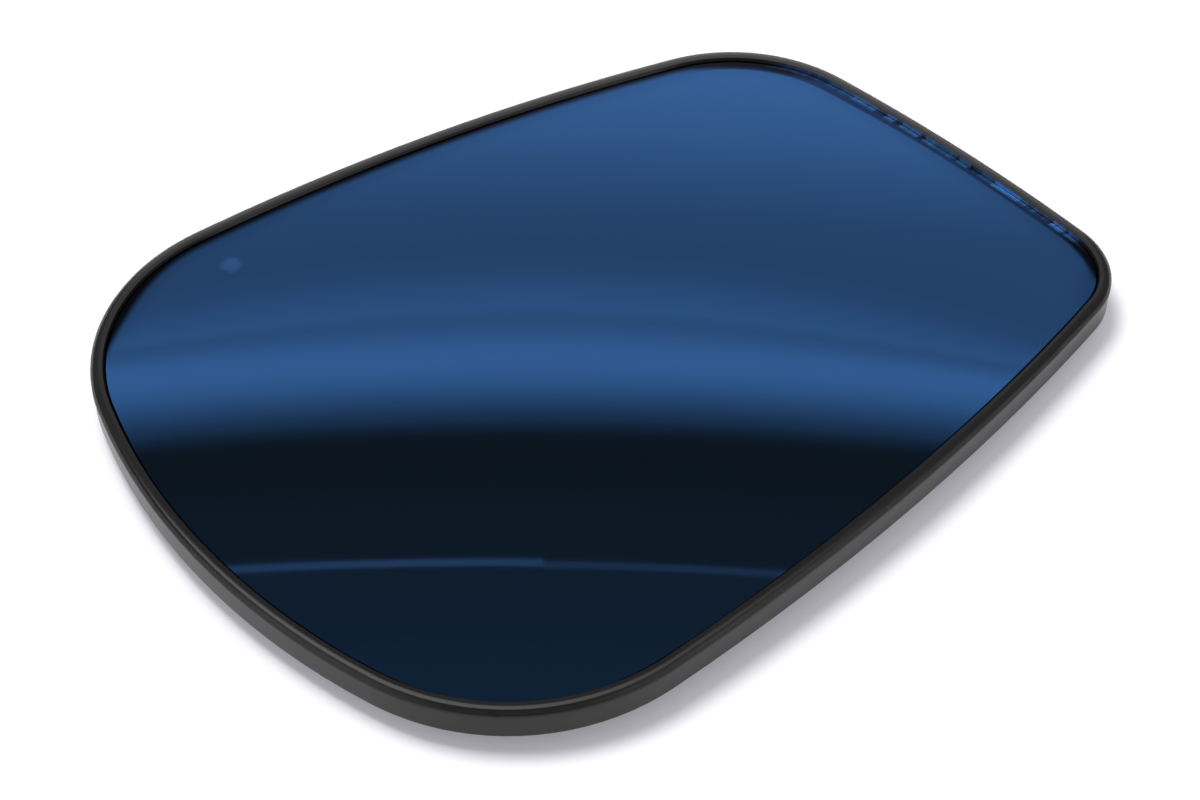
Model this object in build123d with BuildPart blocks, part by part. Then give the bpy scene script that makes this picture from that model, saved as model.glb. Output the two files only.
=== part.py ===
# Car door mirror glass: a convex mirror bonded into a moulded holder that clips on to the mirror's drive
import os

from build123d import *

os.makedirs("parts", exist_ok=True)

# Frame: the pivot is at the origin, in the plane that the back rests on. +X points inboard, +Y to the
# top edge and +Z out of the mirror's face.

# Sharp corners of the rim, before they are rounded
top_outboard_x = -76.3
top_outboard_y = 56.5
top_inboard_x = 68.3
top_inboard_y = 59.1
bottom_inboard_x = 96.2
bottom_inboard_y = -27.4
bottom_outboard_x = -49.2
bottom_outboard_y = -75.2

# How far each side bows out from the straight line between its corners
top_bow = 5.0
inboard_bow = 2.1
bottom_bow = 7.0
outboard_bow = 19.3

# Rounding of the corners
top_outboard_radius = 36.6
top_inboard_radius = 30.7
bottom_inboard_radius = 15.6
bottom_outboard_radius = 42.5

# Glass
mirror_radius = 1400.0
glass_thickness = 2.0
glass_edge_chamfer = 0.3
glass_clearance = 0.1

# Adhesive pad, in a recess inside the ledge that the glass seats on
pad_thickness = 0.5
pad_clearance = 0.5
seat_width = 5.0

# Rim: a lip that stands proud of the glass and of the wall below it, with a bevel down to the glass
rim_width = 2.4
rim_rise = 0.6
rim_bevel = 0.2
lip_height = 1.9
lip_overhang = 0.25
lip_edge_radius = 0.75
skirt_height = 1.8
skirt_edge_chamfer = 0.3

# Plate behind the glass, and the ribs on its back
plate_thickness = 1.7
rib_height = 3.0
rib_thickness = 1.4
spoke_count = 8
rib_loop_inset = 17.0

# Pivot ring, with slots that let its quarters spring
back_projection = 8.5
ring_bore_radius = 20.0
ring_wall = 2.2
ring_slot_count = 4
ring_slot_width = 3.0
ring_slot_depth = 5.0
boss_chamfer = 0.5

# Ball sockets for the two jack screws, one beside the pivot and one below it
socket_reach = 33.0
socket_bore_radius = 4.0
socket_bore_depth = 3.5
socket_wall = 2.3
socket_slot_width = 1.6
socket_slot_depth = 3.0

# Farther than any point of the rim, for shapes that are trimmed to an outline
wide_reach = 200.0

# Depths that follow from these, counted inwards from the mirror's face, and heights above the rest plane
recess_depth = glass_thickness + pad_thickness
root_depth = recess_depth + plate_thickness / 2
back_depth = recess_depth + plate_thickness
skirt_depth = back_depth + skirt_height
face_height = back_projection + back_depth
dome_centre = face_height - mirror_radius
rib_floor = back_projection - rib_height

socket_places = [(socket_reach, 0), (0, -socket_reach)]

# Corners of the lip's outline with their rounding, and its sides with their bow, clockwise
top_outboard = (top_outboard_x, top_outboard_y)
top_inboard = (top_inboard_x, top_inboard_y)
bottom_inboard = (bottom_inboard_x, bottom_inboard_y)
bottom_outboard = (bottom_outboard_x, bottom_outboard_y)
corners = (
    (top_outboard, top_outboard_radius),
    (top_inboard, top_inboard_radius),
    (bottom_inboard, bottom_inboard_radius),
    (bottom_outboard, bottom_outboard_radius),
)
sides = (
    (top_outboard, top_inboard, top_bow),
    (top_inboard, bottom_inboard, inboard_bow),
    (bottom_inboard, bottom_outboard, bottom_bow),
    (bottom_outboard, top_outboard, outboard_bow),
)


def rim_outline(inset):
    """The lip's outline moved inwards. Each side is part of a circle, and the circles' overlap is kept."""
    with BuildSketch() as outline:
        Circle(wide_reach)
        for start, end, bow in sides:
            chord = Vector(*end) - Vector(*start)
            inward = chord.rotate(Axis.Z, -90).normalized()
            radius = chord.length**2 / (8 * bow) + bow / 2
            centre = Vector(*start) + chord / 2 + inward * (radius - bow)
            with Locations(centre):
                Circle(radius - inset, mode=Mode.INTERSECT)
        for corner, radius in corners:
            if radius > inset:
                fillet(outline.vertices().sort_by_distance(corner)[0], radius - inset)
    return outline.sketch


def domed_slab(outline, front, back):
    """What lies within an outline, between two depths below the mirror's domed face."""
    with BuildPart() as slab:
        with BuildSketch(Plane.XY.offset(-face_height)):
            add(outline)
        extrude(amount=3 * face_height)
        with Locations((0, 0, dome_centre)):
            Sphere(mirror_radius - front, rotation=(90, 0, 0), mode=Mode.INTERSECT)
            Sphere(mirror_radius - back, rotation=(90, 0, 0), mode=Mode.SUBTRACT)
    return slab.part


def faces_at_depth(faces, depth):
    """The faces that follow the mirror's dome at a depth below its face."""
    domes = faces.filter_by(GeomType.SPHERE)
    return domes.sort_by(lambda face: abs(face.radius - (mirror_radius - depth)))


pocket_outline = rim_outline(rim_width)
recess_outline = rim_outline(rim_width + seat_width)
with BuildSketch() as ring_bore:
    Circle(ring_bore_radius)

# Glass, with its front edge ground
glass_slab = domed_slab(rim_outline(rim_width + glass_clearance), 0, glass_thickness)
with BuildPart() as mirror_glass:
    add(glass_slab)
    glass_front = faces_at_depth(mirror_glass.faces(), 0)[0]
    chamfer(glass_front.outer_wire().edges(), glass_edge_chamfer)

# Adhesive pad between the glass and the plate
pad_inset = rim_width + seat_width + pad_clearance
pad_slab = domed_slab(rim_outline(pad_inset), glass_thickness, recess_depth)
with BuildPart() as adhesive_pad:
    add(pad_slab)

# Tray of the holder: rim, ledge for the glass, and plate
lip_slab = domed_slab(rim_outline(0), -rim_rise, lip_height - rim_rise)
wall_slab = domed_slab(rim_outline(lip_overhang), -rim_rise, skirt_depth)
pocket_slab = domed_slab(pocket_outline, -2 * rim_rise, glass_thickness)
recess_slab = domed_slab(recess_outline, 0, recess_depth)
hollow_slab = domed_slab(pocket_outline, back_depth, 2 * skirt_depth)
with BuildPart() as tray:
    add(lip_slab)
    add(wall_slab)
    add(pocket_slab, mode=Mode.SUBTRACT)
    add(recess_slab, mode=Mode.SUBTRACT)
    add(hollow_slab, mode=Mode.SUBTRACT)
    rim_top = faces_at_depth(tray.faces(), -rim_rise)[0]
    chamfer(rim_top.inner_wires()[0].edges(), length=rim_bevel, length2=rim_rise, reference=rim_top)
    rim_top = faces_at_depth(tray.faces(), -rim_rise)[0]
    fillet(rim_top.outer_wire().edges(), lip_edge_radius)
    skirt_edge = faces_at_depth(tray.faces(), skirt_depth)[0]
    chamfer(skirt_edge.outer_wire().edges(), skirt_edge_chamfer)

# Ribs seen from the back: spokes out of the ring, and a loop that follows the outline
with BuildSketch(Plane.XY.offset(rib_floor)) as rib_plan:
    add(rim_outline(rib_loop_inset))
    add(rim_outline(rib_loop_inset + rib_thickness), mode=Mode.SUBTRACT)
    with PolarLocations(0, spoke_count):
        Rectangle(wide_reach, rib_thickness, align=(Align.MIN, Align.CENTER))
    add(pocket_outline, mode=Mode.INTERSECT)
    Circle(ring_bore_radius, mode=Mode.SUBTRACT)

# Holder: bosses and ribs that stop inside the plate, joined to the tray and then bored and slotted
ring_bore_slab = domed_slab(ring_bore.sketch, back_depth, 3 * face_height)
with BuildPart() as mirror_holder:
    with BuildSketch():
        Circle(ring_bore_radius + ring_wall)
        with Locations(*socket_places):
            Circle(socket_bore_radius + socket_wall)
    extrude(amount=face_height)
    chamfer(mirror_holder.edges().group_by(Axis.Z)[0], boss_chamfer)
    add(rib_plan.sketch)
    extrude(amount=face_height)
    with Locations((0, 0, dome_centre)):
        Sphere(mirror_radius - root_depth, rotation=(90, 0, 0), mode=Mode.INTERSECT)
    add(tray.part)
    add(ring_bore_slab, mode=Mode.SUBTRACT)
    with PolarLocations(ring_bore_radius, ring_slot_count, start_angle=180 / spoke_count):
        Box(
            4 * ring_wall,
            ring_slot_width,
            2 * ring_slot_depth,
            mode=Mode.SUBTRACT,
        )
    with Locations(*socket_places):
        Cylinder(socket_bore_radius, 2 * socket_bore_depth, mode=Mode.SUBTRACT)
        Box(
            socket_slot_width,
            3 * (socket_bore_radius + socket_wall),
            2 * socket_slot_depth,
            mode=Mode.SUBTRACT,
        )
    with Locations(*[(x, y, socket_bore_depth) for x, y in socket_places]):
        Sphere(socket_bore_radius, mode=Mode.SUBTRACT)

mirror_glass.part.label = "mirror_glass"
export_step(mirror_glass.part, "parts/mirror_glass.step")
adhesive_pad.part.label = "adhesive_pad"
export_step(adhesive_pad.part, "parts/adhesive_pad.step")
mirror_holder.part.label = "mirror_holder"
export_step(mirror_holder.part, "parts/mirror_holder.step")
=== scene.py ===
# Car door mirror glass lying face up on a white studio table
import math

import bpy
from mathutils import Matrix, Vector
from mathutils.geometry import intersect_sphere_sphere_2d


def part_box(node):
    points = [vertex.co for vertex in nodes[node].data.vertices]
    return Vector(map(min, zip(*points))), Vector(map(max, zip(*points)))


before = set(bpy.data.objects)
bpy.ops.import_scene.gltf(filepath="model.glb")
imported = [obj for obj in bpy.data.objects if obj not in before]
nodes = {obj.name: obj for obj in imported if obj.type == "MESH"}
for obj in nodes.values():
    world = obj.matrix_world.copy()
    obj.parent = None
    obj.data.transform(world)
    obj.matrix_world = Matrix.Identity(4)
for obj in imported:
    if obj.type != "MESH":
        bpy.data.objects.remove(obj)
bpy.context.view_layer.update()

# Sizes of the part that its looks depend on, in metres. The outline's corners go round clockwise as seen
# from above, from the top outboard one, and each bow is that of the side after its corner.
mirror_radius = 1.4
dome_centre = Vector((0, 0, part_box("mirror_glass")[1].z - mirror_radius))
dome_tolerance = 0.00002
glass_inset = 0.0025
rim_rise = 0.0006
corners = (
    Vector((-0.0763, 0.0565)),
    Vector((0.0683, 0.0591)),
    Vector((0.0962, -0.0274)),
    Vector((-0.0492, -0.0752)),
)
bows = (0.0050, 0.0021, 0.0070, 0.0193)
corner_radii = (0.0366, 0.0307, 0.0156, 0.0425)

# View of the photograph: the camera's bearing is turned from +Y towards +X
view_bearing = math.radians(28.03)
view_elevation = math.radians(46.57)
view_distance = 0.6106
view_aim = Vector((-0.00641, -0.01422, 0.0133))
view_lens = 105.54
view_sensor = 36.0

up = Vector((0, 0, 1))
ahead = Vector((math.sin(view_bearing), math.cos(view_bearing), 0))
right = Vector((math.cos(view_bearing), -math.sin(view_bearing), 0))


def grey(level):
    return (level, level, level, 1.0)


def new_material(name):
    """A node material, its node tree and its main shader."""
    material = bpy.data.materials.new(name)
    material.use_nodes = True
    tree = material.node_tree
    return material, tree, tree.nodes["Principled BSDF"]


def feed(tree, socket, source):
    """Links an output to an input, or sets a plain value on the input."""
    if isinstance(source, bpy.types.NodeSocket):
        tree.links.new(source, socket)
    else:
        socket.default_value = source


def maths(tree, operation, *sources):
    node = tree.nodes.new("ShaderNodeMath")
    node.operation = operation
    for socket, source in zip(node.inputs, sources):
        feed(tree, socket, source)
    return node.outputs[0]


def vector_maths(tree, operation, *sources):
    node = tree.nodes.new("ShaderNodeVectorMath")
    node.operation = operation
    for socket, source in zip(node.inputs, sources):
        feed(tree, socket, source)
    gives_number = operation in ("LENGTH", "DISTANCE", "DOT_PRODUCT")
    return node.outputs["Value" if gives_number else "Vector"]


def fade(tree, value, start, end):
    """Smooth step of a value, from 0 at start to 1 at end."""
    node = tree.nodes.new("ShaderNodeMapRange")
    node.interpolation_type = "SMOOTHSTEP"
    feed(tree, node.inputs["Value"], value)
    node.inputs["From Min"].default_value = start
    node.inputs["From Max"].default_value = end
    return node.outputs[0]


def between(tree, share, low, high):
    """A number that runs from low to high with a share from 0 to 1."""
    node = tree.nodes.new("ShaderNodeMapRange")
    feed(tree, node.inputs["Value"], share)
    feed(tree, node.inputs["To Min"], low)
    feed(tree, node.inputs["To Max"], high)
    return node.outputs[0]


def blend(tree, share, first, second):
    """A colour that runs from the first to the second with a share from 0 to 1."""
    node = tree.nodes.new("ShaderNodeMix")
    node.data_type = "RGBA"
    sockets = {socket.identifier: socket for socket in (*node.inputs, *node.outputs)}
    feed(tree, sockets["Factor_Float"], share)
    feed(tree, sockets["A_Color"], first)
    feed(tree, sockets["B_Color"], second)
    return sockets["Result_Color"]


def noise(tree, place, scale, detail=2.0):
    node = tree.nodes.new("ShaderNodeTexNoise")
    feed(tree, node.inputs["Vector"], place)
    node.inputs["Scale"].default_value = scale
    node.inputs["Detail"].default_value = detail
    return node.outputs[0]


def ramp(tree, value, stops, interpolation="LINEAR"):
    """Colour of a ramp with (place, colour) stops."""
    node = tree.nodes.new("ShaderNodeValToRGB")
    node.color_ramp.interpolation = interpolation
    elements = node.color_ramp.elements
    elements.remove(elements[1])
    elements[0].position, elements[0].color = stops[0]
    for place, colour in stops[1:]:
        elements.new(place).color = colour
    feed(tree, node.inputs[0], value)
    return node.outputs[0]


def bump(tree, height, distance, strength=1.0, normal=None):
    """Surface direction for a height from 0 to 1 that stands for a distance in metres."""
    node = tree.nodes.new("ShaderNodeBump")
    node.inputs["Strength"].default_value = strength
    node.inputs["Distance"].default_value = distance
    feed(tree, node.inputs["Height"], height)
    if normal:
        feed(tree, node.inputs["Normal"], normal)
    return node.outputs[0]


def object_place(tree):
    return tree.nodes.new("ShaderNodeTexCoord").outputs["Object"]


def split_axes(tree, vector):
    node = tree.nodes.new("ShaderNodeSeparateXYZ")
    feed(tree, node.inputs[0], vector)
    return node.outputs


def facing_up(tree):
    """Height part of the surface's own direction: 1 on top, 0 on upright walls."""
    return split_axes(tree, tree.nodes.new("ShaderNodeTexCoord").outputs["Normal"])["Z"]


# Outline in plan: four bowed sides, each an arc given by its centre and radius, and a rounding at each corner
def side_arc(start, end, bow):
    chord = end - start
    inward = Vector((chord.y, -chord.x)).normalized()
    radius = chord.length_squared / (8 * bow) + bow / 2
    return (start + end) / 2 + inward * (radius - bow), radius


sides = [side_arc(start, end, bow) for start, end, bow in zip(corners, corners[1:] + corners[:1], bows)]
top_side, inboard_side, bottom_side, outboard_side = sides


def corner_centre(index):
    """Centre of a corner's rounding, which touches the sides before and after it."""
    radius = corner_radii[index]
    before, radius_before = sides[index - 1]
    after, radius_after = sides[index]
    centres = intersect_sphere_sphere_2d(before, radius_before - radius, after, radius_after - radius)
    return min(centres, key=lambda point: (point - corners[index]).length)


def plan_offset(tree, place, centre):
    """Level vector from a centre to a place."""
    offset = vector_maths(tree, "SUBTRACT", place, centre.to_3d())
    return vector_maths(tree, "MULTIPLY", offset, Vector((1, 1, 0)))


def clockwise_past(tree, offset, way):
    """How far the end of an offset lies clockwise past a direction."""
    return vector_maths(tree, "DOT_PRODUCT", offset, Vector((way.y, -way.x, 0)))


def arc_depth(tree, offset, radius):
    """How far inside an arc of a radius the end of an offset from its centre lies."""
    return maths(tree, "SUBTRACT", radius, vector_maths(tree, "LENGTH", offset))


def side_depth(tree, place, side):
    centre, radius = side
    return arc_depth(tree, plan_offset(tree, place, centre), radius)


def side_fade(tree, place, side, reach):
    """Share that runs from 0 at a reach's first depth inside a side to 1 at its second."""
    return fade(tree, side_depth(tree, place, side), *reach)


def outline_depth(tree, place):
    """How far a place lies inside the outline, with the corners' roundings taken into account."""
    depth = side_depth(tree, place, top_side)
    for side in (inboard_side, bottom_side, outboard_side):
        depth = maths(tree, "MINIMUM", depth, side_depth(tree, place, side))
    for index, radius in enumerate(corner_radii):
        centre = corner_centre(index)
        before = sides[index - 1][0]
        after = sides[index][0]
        offset = plan_offset(tree, place, centre)
        past_first = clockwise_past(tree, offset, (centre - before).normalized())
        past_last = clockwise_past(tree, offset, (centre - after).normalized())
        begun = maths(tree, "GREATER_THAN", past_first, 0.0)
        not_ended = maths(tree, "LESS_THAN", past_last, 0.0)
        within = maths(tree, "MULTIPLY", begun, not_ended)
        depth = between(tree, within, depth, arc_depth(tree, offset, radius))
    return depth


# Mirror: tinted reflector with faint smears. Each reach is two depths inside a side of the outline, and what
# it limits fades in from the first to the second.
mirror_tint = (0.032, 0.112, 0.310, 1.0)
smear_scale = 28.0
smear_detail = 4.0
smear_roughness = (0.012, 0.032)
side_reach = (0.020, 0.010)

# The mirror's strip, the strip's blocks and the pale spot have ragged edges
jag_scale = 700.0
jag_length = 0.0005

# Painted reflection: a dark border along the mirror's top and at its lower inboard corner stands for the
# rim's inner wall reflected in the back-silvered glass. A faint painted shade darkens the mirror inside its
# top and inboard sides. The border is wider at both ends of the top.
rim_reflection_and_shade_tint = (0.0025, 0.0035, 0.0090, 1.0)
top_border_width = 0.0013
outboard_border_width = 0.0018
inboard_border_width = 0.0022
border_softness = 0.0009
border_onset = (0.0, 0.4)
low_corner_reach = (0.0095, 0.0035)
shade_width = 0.006
shade_strength = 0.20

# Strip of blocks along the mirror's inboard side: the glass's frosted ground edge seen through the glass,
# with painted glints in its light blocks, and a painted glint that makes it brighter still on the ground edge
strip_width = 0.0012
strip_softness = 0.0003
strip_top_reach = (0.0072, 0.0120)
strip_bottom_reach = (0.0084, 0.0140)
ground_width = 0.00028
ground_softness = 0.0001
ground_glint_gain = 6.0
stripe_length = 0.0007
stripe_depth = 0.25
block_gloss = 0.1
block_roughness = 0.55
block_tints = (
    (0.00, (0.004, 0.010, 0.028, 1.0)),
    (0.20, (0.008, 0.022, 0.062, 1.0)),
    (0.50, (0.016, 0.056, 0.132, 1.0)),
    (0.95, (0.030, 0.115, 0.300, 1.0)),
)

# The strip's blocks from its low end: where each begins along Y, and how light it is. The light blocks are
# painted glints.
strip_low_end = -0.020
strip_length = 0.065
blocks = (
    (-0.0200, 0.05),
    (-0.0167, 0.60),
    (-0.0143, 0.30),
    (-0.0135, 0.75),
    (-0.0108, 0.15),
    (-0.0070, 0.45),
    (-0.0059, 0.08),
    (-0.0047, 0.45),
    (-0.0028, 0.95),
    (0.0033, 0.35),
    (0.0065, 0.12),
    (0.0091, 0.50),
    (0.0115, 0.08),
    (0.0124, 0.50),
    (0.0173, 0.65),
    (0.0196, 0.08),
    (0.0205, 0.65),
    (0.0248, 0.08),
    (0.0264, 0.70),
    (0.0284, 0.15),
    (0.0307, 0.60),
    (0.0360, 0.40),
    (0.0420, 0.30),
)

# Dark line inside the strip, which lies deeper towards the mirror's top
line_tint = (0.011, 0.032, 0.105, 1.0)
line_depths = (0.0018, 0.0025)
line_top_reach = (0.045, 0.01125)

# Small pale spot near the mirror's top outboard corner, which fades in between two distances from its middle
spot_tint = (0.058, 0.170, 0.460, 1.0)
spot_place = Vector((-0.0484, 0.0489, 0.0110))
spot_jag_length = 0.00168
spot_edge = (0.00336, 0.00168)


def ragged(tree, value, place, length):
    """A length made uneven by up to another length."""
    return maths(tree, "ADD", value, maths(tree, "MULTIPLY", noise(tree, place, jag_scale), length))


def gained(colour, gain):
    red, green, blue, alpha = colour
    return (red * gain, green * gain, blue * gain, alpha)


def frosted_blocks_and_glints(tree, place, gain=1.0):
    """Tints of the strip's blocks, ragged at their ends and finely striped. Their light blocks are painted
    glints.
    """
    along = ragged(tree, split_axes(tree, place)["Y"], place, jag_length)
    share = maths(tree, "DIVIDE", maths(tree, "SUBTRACT", along, strip_low_end), strip_length)
    starts = [((start - strip_low_end) / strip_length, grey(lightness)) for start, lightness in blocks]
    shade = ramp(tree, share, starts, "CONSTANT")
    stripes = tree.nodes.new("ShaderNodeTexVoronoi")
    stripes.voronoi_dimensions = "1D"
    stripes.inputs["Scale"].default_value = 1 / stripe_length
    feed(tree, stripes.inputs["W"], along)
    stripe = maths(tree, "SUBTRACT", split_axes(tree, stripes.outputs["Color"])["X"], 0.5)
    striped_shade = maths(tree, "MULTIPLY_ADD", stripe, stripe_depth, shade)
    tints = [(lightness, gained(tint, gain)) for lightness, tint in block_tints]
    return ramp(tree, striped_shade, tints)


def inboard_run(tree, place):
    """Share of the inboard side's own length, without its corners."""
    at_inboard = side_fade(tree, place, inboard_side, side_reach)
    past_top = side_fade(tree, place, top_side, strip_top_reach)
    past_bottom = side_fade(tree, place, bottom_side, strip_bottom_reach)
    return maths(tree, "MULTIPLY", at_inboard, maths(tree, "MULTIPLY", past_top, past_bottom))


# Share of the dark border, a painted reflection of the rim's inner wall
def rim_reflection_share(tree, place, from_edge):
    at_top = side_fade(tree, place, top_side, side_reach)
    at_inboard = side_fade(tree, place, inboard_side, side_reach)
    at_outboard = side_fade(tree, place, outboard_side, side_reach)
    at_bottom = side_fade(tree, place, bottom_side, side_reach)
    near_inboard = side_fade(tree, place, inboard_side, low_corner_reach)
    bordered = maths(tree, "MAXIMUM", at_top, maths(tree, "MULTIPLY", near_inboard, at_bottom))
    width = between(tree, at_outboard, top_border_width, outboard_border_width)
    width = between(tree, at_inboard, width, inboard_border_width)
    border_place = maths(tree, "SUBTRACT", from_edge, maths(tree, "MULTIPLY", width, bordered))
    border = fade(tree, border_place, border_softness, -border_softness)
    return maths(tree, "MULTIPLY", border, fade(tree, bordered, *border_onset))


# Share of the painted shade inside the mirror's top and inboard sides
def shade_share(tree, place, from_edge):
    at_top = side_fade(tree, place, top_side, side_reach)
    at_inboard = side_fade(tree, place, inboard_side, side_reach)
    shade = maths(tree, "MULTIPLY", fade(tree, from_edge, shade_width, 0.0), shade_strength)
    return maths(tree, "MULTIPLY", shade, maths(tree, "MAXIMUM", at_top, at_inboard))


def strip_share(tree, place, from_edge):
    ragged_edge = ragged(tree, from_edge, place, jag_length)
    strip = fade(tree, ragged_edge, strip_width + strip_softness, strip_width - strip_softness)
    return maths(tree, "MULTIPLY", strip, inboard_run(tree, place))


def strip_tint(tree, place, from_edge):
    """Tints of the strip's blocks, with a painted glint that makes them brighter on the glass's ground edge.
    """
    ground = fade(tree, from_edge, ground_width + ground_softness, ground_width - ground_softness)
    return blend(tree, ground, frosted_blocks_and_glints(tree, place), frosted_blocks_and_glints(tree, place, ground_glint_gain))


def line_share(tree, place, from_edge):
    at_inboard = side_fade(tree, place, inboard_side, side_reach)
    at_bottom = side_fade(tree, place, bottom_side, side_reach)
    near_inboard = side_fade(tree, place, inboard_side, low_corner_reach)
    depth = between(tree, side_fade(tree, place, top_side, line_top_reach), *line_depths)
    line = fade(tree, maths(tree, "SUBTRACT", from_edge, depth), strip_softness, -strip_softness)
    return maths(tree, "MULTIPLY", line, between(tree, at_bottom, at_inboard, near_inboard))


def spot_share(tree, place):
    distance = vector_maths(tree, "DISTANCE", place, spot_place)
    return fade(tree, ragged(tree, distance, place, spot_jag_length), *spot_edge)


def mirror_material():
    material, tree, shader = new_material("mirror_tinted")
    place = object_place(tree)
    from_edge = maths(tree, "SUBTRACT", outline_depth(tree, place), glass_inset)
    strip = strip_share(tree, place, from_edge)
    tint = blend(tree, spot_share(tree, place), mirror_tint, spot_tint)
    tint = blend(tree, shade_share(tree, place, from_edge), tint, rim_reflection_and_shade_tint)
    tint = blend(tree, line_share(tree, place, from_edge), tint, line_tint)
    tint = blend(tree, rim_reflection_share(tree, place, from_edge), tint, rim_reflection_and_shade_tint)
    tint = blend(tree, strip, tint, strip_tint(tree, place, from_edge))
    feed(tree, shader.inputs["Base Color"], tint)
    feed(tree, shader.inputs["Metallic"], maths(tree, "SUBTRACT", 1.0, strip))
    smears = between(tree, noise(tree, place, smear_scale, smear_detail), *smear_roughness)
    feed(tree, shader.inputs["Roughness"], between(tree, strip, smears, block_roughness))
    shader.inputs["Specular IOR Level"].default_value = block_gloss
    return material


# Holder: black moulded plastic with a fine grain, paler where its edges are rubbed
plastic_colour = (0.0098, 0.0096, 0.0096, 1.0)
rubbed_colour = (0.0200, 0.0195, 0.0195, 1.0)
plastic_roughness = (0.13, 0.22)
plastic_gloss = 0.4
patch_scale = 120.0
patch_detail = 4.0
rubbed_patches = (0.45, 0.70)
edge_slope = 0.62
edge_spread = (0.30, 0.10)
grain_scale = 3200.0
grain_height = 0.00002
grain_strength = 0.25

# The rim is crowned and rolls over into its outer wall
crown_width = 0.00163
crown_height = 0.00046
roll_height = 0.0014
roll_depth = 0.00047
roll_reach = (0.0020, 0.0015)

# Painted reflection: the strip's blocks are painted again on the rim's inner wall beside them, where the
# glossy plastic reflects them
inner_wall_start = 0.0022
inner_wall_height = 0.0010
inner_wall_softness = 0.0001
reflected_strip_gain = 1.15


def crest_drop(tree, place):
    """How far a place lies under the dome that the rim's crest follows."""
    from_centre = vector_maths(tree, "DISTANCE", place, dome_centre)
    return maths(tree, "SUBTRACT", mirror_radius + rim_rise, from_centre)


def rubbed_share(tree, patches):
    """Share of wear, in patches along the edges between level and upright faces."""
    slope_error = maths(tree, "ABSOLUTE", maths(tree, "SUBTRACT", facing_up(tree), edge_slope))
    edges = fade(tree, slope_error, *edge_spread)
    return maths(tree, "MULTIPLY", edges, fade(tree, patches, *rubbed_patches))


def inner_wall_share(tree, depth, drop):
    inside = fade(tree, depth, inner_wall_start - inner_wall_softness, inner_wall_start + inner_wall_softness)
    above = fade(tree, drop, inner_wall_height + inner_wall_softness, inner_wall_height - inner_wall_softness)
    return maths(tree, "MULTIPLY", inside, above)


def rim_normal(tree, place, depth, drop):
    """Surface direction with the rim's crown, its roll and the fine grain."""
    crown_share = between(tree, maths(tree, "DIVIDE", depth, crown_width), 0.0, 1.0)
    crown = maths(tree, "MULTIPLY", crown_share, maths(tree, "SUBTRACT", 2.0, crown_share))
    roll = maths(tree, "MULTIPLY", fade(tree, drop, 0.0, roll_height), fade(tree, depth, *roll_reach))
    crowned = bump(tree, crown, crown_height)
    rolled = bump(tree, roll, roll_depth, normal=crowned)
    return bump(tree, noise(tree, place, grain_scale), grain_height, grain_strength, rolled)


def holder_material():
    material, tree, shader = new_material("plastic_moulded")
    place = object_place(tree)
    depth = outline_depth(tree, place)
    drop = crest_drop(tree, place)
    patches = noise(tree, place, patch_scale, patch_detail)
    # Painted reflection of the mirror's strip on the rim's inner wall, on the inboard side
    painted_strip_reflection = maths(tree, "MULTIPLY", inner_wall_share(tree, depth, drop), inboard_run(tree, place))
    colour = blend(tree, rubbed_share(tree, patches), plastic_colour, rubbed_colour)
    colour = blend(tree, painted_strip_reflection, colour, frosted_blocks_and_glints(tree, place, reflected_strip_gain))
    feed(tree, shader.inputs["Base Color"], colour)
    feed(tree, shader.inputs["Roughness"], between(tree, patches, *plastic_roughness))
    shader.inputs["Specular IOR Level"].default_value = plastic_gloss
    feed(tree, shader.inputs["Normal"], rim_normal(tree, place, depth, drop))
    return material


# Adhesive: dark foam film with open cells
foam_colours = ((0.0, (0.030, 0.030, 0.031, 1.0)), (0.6, (0.060, 0.060, 0.062, 1.0)))
foam_roughness = 0.9
foam_cell_scale = 1400.0
foam_cell_depth = 0.0001
foam_cell_strength = 0.5


def adhesive_material():
    material, tree, shader = new_material("foam_film")
    cells = tree.nodes.new("ShaderNodeTexVoronoi")
    feed(tree, cells.inputs["Vector"], object_place(tree))
    cells.inputs["Scale"].default_value = foam_cell_scale
    distance = cells.outputs["Distance"]
    feed(tree, shader.inputs["Base Color"], ramp(tree, distance, foam_colours))
    feed(tree, shader.inputs["Normal"], bump(tree, distance, foam_cell_depth, foam_cell_strength))
    shader.inputs["Roughness"].default_value = foam_roughness
    return material


# The mirror's face takes its normals from the dome's centre, so that it reflects as a true dome
def smooth_mirror_face(glass):
    mesh = glass.data
    centre_empty = bpy.data.objects.new("dome_centre", None)
    centre_empty.location = dome_centre
    bpy.context.scene.collection.objects.link(centre_empty)
    face_group = glass.vertex_groups.new(name="mirror_face")
    for polygon in mesh.polygons:
        places = [mesh.vertices[index].co for index in polygon.vertices]
        if all(abs((place - dome_centre).length - mirror_radius) < dome_tolerance for place in places):
            face_group.add(list(polygon.vertices), 1.0, "REPLACE")
    edit = glass.modifiers.new("dome_normals", "NORMAL_EDIT")
    edit.mode = "RADIAL"
    edit.target = centre_empty
    edit.vertex_group = face_group.name
    edit.no_polynors_fix = True


smooth_mirror_face(nodes["mirror_glass"])
nodes["mirror_glass"].material_slots[0].material = mirror_material()
nodes["mirror_holder"].material_slots[0].material = holder_material()
nodes["adhesive_pad"].material_slots[0].material = adhesive_material()


def flat_panel(name, width, height, place, across, upward):
    """A rectangle whose X and Y axes run across and upward, with its origin at the middle of its foot."""
    mesh = bpy.data.meshes.new(name)
    half = width / 2
    mesh.from_pydata([(-half, 0, 0), (half, 0, 0), (half, height, 0), (-half, height, 0)], [], [(0, 1, 2, 3)])
    panel = bpy.data.objects.new(name, mesh)
    bpy.context.scene.collection.objects.link(panel)
    axes = Matrix((across, upward, across.cross(upward))).transposed()
    panel.matrix_world = Matrix.Translation(place) @ axes.to_4x4()
    return panel


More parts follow.
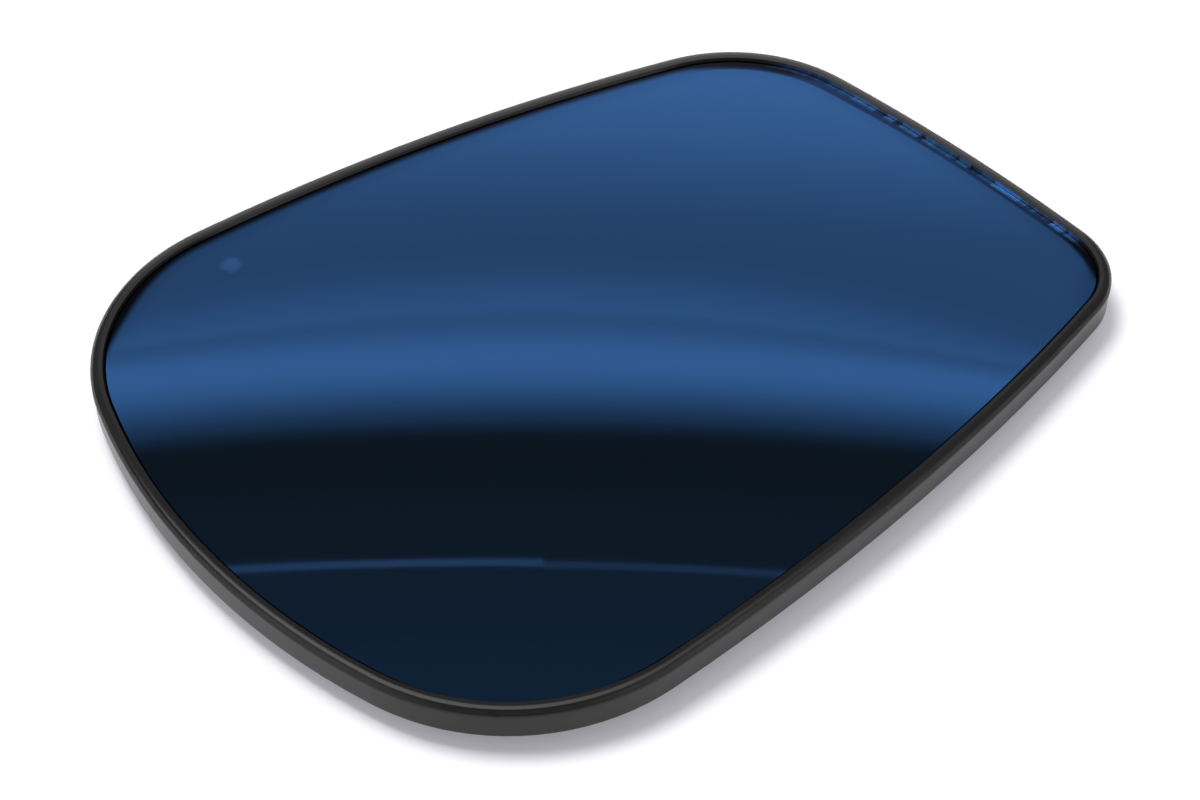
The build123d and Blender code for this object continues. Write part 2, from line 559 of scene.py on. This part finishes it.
# Table: white, with the object's shadow kept. A faint cool glow that only the camera sees lifts it to white.
table_size = 6.0
table_gap = 0.0002
table_albedo = 0.85
table_glow = 0.20
cool_shade = (0.985, 0.975, 1.060, 1.0)


def table_material():
    material, tree, shader = new_material("table_white")
    shader.inputs["Base Color"].default_value = grey(table_albedo)
    shader.inputs["Roughness"].default_value = 1.0
    shader.inputs["Specular IOR Level"].default_value = 0.0
    shader.inputs["Emission Color"].default_value = cool_shade
    seen = tree.nodes.new("ShaderNodeLightPath").outputs["Is Camera Ray"]
    feed(tree, shader.inputs["Emission Strength"], maths(tree, "MULTIPLY", seen, table_glow))
    return material


table = flat_panel("table", table_size, table_size, -up * table_gap - ahead * table_size / 2, right, ahead)
table.data.materials.append(table_material())

# Room that the mirror faces: a wall behind the table with a lit backdrop, a lamp band over it, and a dark
# ceiling. Each level is (metres up the wall, brightness).
wall_distance = 2.0
wall_width = 1.9
wall_height = 4.0
wall_slope = 0.05
wall_across = (right + up * wall_slope).normalized()
wall_upward = (up - right * wall_slope).normalized()
warm_shade = (0.070, 0.027, 0.0)
room_levels = (
    (1.30, 1.00),
    (1.46, 0.87),
    (1.56, 0.70),
    (1.66, 0.55),
    (1.78, 0.45),
    (1.86, 0.49),
    (1.965, 0.66),
    (2.00, 0.58),
    (2.06, 0.79),
    (2.105, 0.90),
    (2.15, 0.84),
    (2.20, 0.62),
    (2.25, 0.37),
    (2.30, 0.18),
    (2.345, 0.052),
    (2.60, 0.060),
    (2.76, 0.061),
    (2.80, 0.081),
    (3.00, 0.09),
    (3.25, 0.11),
)

# The lamp band's lower side bows up towards its ends, and the levels up to the ceiling slope a little. Where
# each begins or ends is (metres up the wall without it, metres with all of it).
band_slope = 0.022
slope_end = (2.60, 2.40)
band_bow = 0.20
bow_start = (1.70, 1.90)
bow_end = (2.14, 1.95)

# Two thin strips of light in front of the ceiling: (name, left end, right end, height, colour)
ceiling_light = 0.070
slit_thickness = 0.040
slit_softness = 0.014
slit_gap = 0.005
slit_joint = 0.042
slits = (
    ("slit_left", -0.60, slit_joint, 2.7710, (0.48, 0.36, 0.345, 1.0)),
    ("slit_right", slit_joint, 0.60, 2.7785, (0.32, 0.238, 0.21, 1.0)),
)

# Long light overhead, which gives the rim its bright edge. It fades into the dim room at its own edges. Each
# level is (share of its width from the left, brightness).
room_dim = 0.22
overhead_width = 3.5
overhead_depth = 0.97
overhead_softness = 0.20
overhead_turn = 0.15
overhead_place = -right * 0.45 - ahead * 0.25 + up * 1.45
overhead_across = (right - ahead * overhead_turn).normalized()
overhead_levels = (
    (0.00, room_dim),
    (0.10, 3.20),
    (0.40, 2.72),
    (0.62, 2.24),
    (0.74, 1.34),
    (0.85, 0.64),
    (1.00, room_dim),
)


def room_colour(brightness):
    """Light of the room at a brightness, with a warm cast in its dark parts."""
    return tuple(brightness + shade * (1 - brightness) for shade in warm_shade) + (1.0,)


def lit_panel(panel):
    """Makes a panel give light, to reflections alone. Gives its node tree and its light's node."""
    panel.visible_camera = False
    panel.visible_diffuse = False
    panel.visible_shadow = False
    panel.visible_transmission = False
    material, tree, shader = new_material(panel.name)
    tree.nodes.remove(shader)
    emission = tree.nodes.new("ShaderNodeEmission")
    tree.links.new(emission.outputs[0], tree.nodes["Material Output"].inputs["Surface"])
    panel.data.materials.append(material)
    return tree, emission


def soft_band(tree, place, width, softness):
    """Share that is 1 over a band that begins at 0, and fades out at both its edges."""
    low_edge = fade(tree, place, 0.0, softness)
    high_edge = fade(tree, place, width, width - softness)
    return maths(tree, "MULTIPLY", low_edge, high_edge)


def room_wall():
    wall = flat_panel("room_wall", wall_width, wall_height, ahead * wall_distance, wall_across, wall_upward)
    tree, emission = lit_panel(wall)
    axes = split_axes(tree, object_place(tree))
    slope = maths(tree, "MULTIPLY", fade(tree, axes["Y"], *slope_end), band_slope)
    sloped_level = maths(tree, "MULTIPLY_ADD", axes["X"], slope, axes["Y"])
    bowed = maths(tree, "MULTIPLY", fade(tree, axes["Y"], *bow_start), fade(tree, axes["Y"], *bow_end))
    bow = maths(tree, "MULTIPLY", maths(tree, "MULTIPLY", axes["X"], axes["X"]), band_bow)
    level = maths(tree, "SUBTRACT", sloped_level, maths(tree, "MULTIPLY", bow, bowed))
    stops = [(height / wall_height, room_colour(light)) for height, light in room_levels]
    share = maths(tree, "DIVIDE", level, wall_height)
    feed(tree, emission.inputs["Color"], ramp(tree, share, stops, "CARDINAL"))


def room_slit(name, left_end, right_end, height, colour):
    middle = wall_across * (left_end + right_end) / 2
    foot = wall_upward * (height - slit_thickness / 2)
    place = ahead * (wall_distance - slit_gap) + middle + foot
    slit = flat_panel(name, right_end - left_end, slit_thickness, place, wall_across, wall_upward)
    tree, emission = lit_panel(slit)
    light = soft_band(tree, split_axes(tree, object_place(tree))["Y"], slit_thickness, slit_softness)
    feed(tree, emission.inputs["Color"], blend(tree, light, room_colour(ceiling_light), colour))


def overhead_panel():
    upward = up.cross(overhead_across)
    panel = flat_panel(
        "overhead_light", overhead_width, overhead_depth, overhead_place, overhead_across, upward
    )
    tree, emission = lit_panel(panel)
    axes = split_axes(tree, object_place(tree))
    from_middle = maths(tree, "DIVIDE", axes["X"], overhead_width)
    stops = [(share, grey(brightness)) for share, brightness in overhead_levels]
    colour = ramp(tree, maths(tree, "ADD", from_middle, 0.5), stops)
    light = soft_band(tree, axes["Y"], overhead_depth, overhead_softness)
    feed(tree, emission.inputs["Color"], blend(tree, light, grey(room_dim), colour))


room_wall()
for slit in slits:
    room_slit(*slit)
overhead_panel()

# Soft lamp above the table, a little to the left
lamp_size = 0.55
lamp_power = 14.0
lamp_place = -right * 0.30 + ahead * 0.05 + up * 1.42


def soft_lamp():
    light = bpy.data.lights.new("softbox", "AREA")
    light.shape = "DISK"
    light.size = lamp_size
    light.energy = lamp_power
    lamp = bpy.data.objects.new("softbox", light)
    lamp.location = lamp_place
    lamp.rotation_euler = (-lamp_place).to_track_quat("-Z", "Y").to_euler()
    lamp.visible_glossy = False
    bpy.context.scene.collection.objects.link(lamp)


soft_lamp()

# World: white to the camera, soft cool light on the object, and in reflections a dim room that is light at
# both sides of the camera. Both reaches are parts of a direction, sideways and ahead.
ambient_light = (0.492, 0.487, 0.530, 1.0)
room_lit = 0.80
lit_sideways_reach = (0.3, 0.9)
lit_ahead_reach = (0.2, -0.3)


def choose_shader(tree, share, first, second):
    """A shader that is the first where a share is 0 and the second where it is 1."""
    node = tree.nodes.new("ShaderNodeMixShader")
    for socket, source in zip(node.inputs, (share, first, second)):
        tree.links.new(source, socket)
    return node.outputs[0]


def studio_world():
    world = bpy.data.worlds.new("studio")
    bpy.context.scene.world = world
    world.use_nodes = True
    tree = world.node_tree
    light_path = tree.nodes.new("ShaderNodeLightPath")
    direction = tree.nodes.new("ShaderNodeTexCoord").outputs["Generated"]
    sideways = maths(tree, "ABSOLUTE", vector_maths(tree, "DOT_PRODUCT", direction, right))
    forward = vector_maths(tree, "DOT_PRODUCT", direction, ahead)
    behind = fade(tree, forward, *lit_ahead_reach)
    lit = maths(tree, "MULTIPLY", fade(tree, sideways, *lit_sideways_reach), behind)
    room = tree.nodes.new("ShaderNodeBackground")
    feed(tree, room.inputs["Color"], blend(tree, lit, grey(room_dim), grey(room_lit)))
    ambient = tree.nodes["Background"]
    ambient.inputs["Color"].default_value = ambient_light
    white = tree.nodes.new("ShaderNodeBackground")
    white.inputs["Color"].default_value = grey(1.0)
    reflected = choose_shader(tree, light_path.outputs["Is Glossy Ray"], ambient.outputs[0], room.outputs[0])
    seen = choose_shader(tree, light_path.outputs["Is Camera Ray"], reflected, white.outputs[0])
    tree.links.new(seen, tree.nodes["World Output"].inputs["Surface"])


studio_world()


def photograph_camera():
    data = bpy.data.cameras.new("camera")
    data.lens = view_lens
    data.sensor_width = view_sensor
    camera = bpy.data.objects.new("camera", data)
    back = up * math.sin(view_elevation) - ahead * math.cos(view_elevation)
    camera.location = view_aim + back * view_distance
    camera.rotation_euler = (-back).to_track_quat("-Z", "Y").to_euler()
    bpy.context.scene.collection.objects.link(camera)
    bpy.context.scene.camera = camera


photograph_camera()
bpy.context.scene.view_settings.view_transform = "Standard"
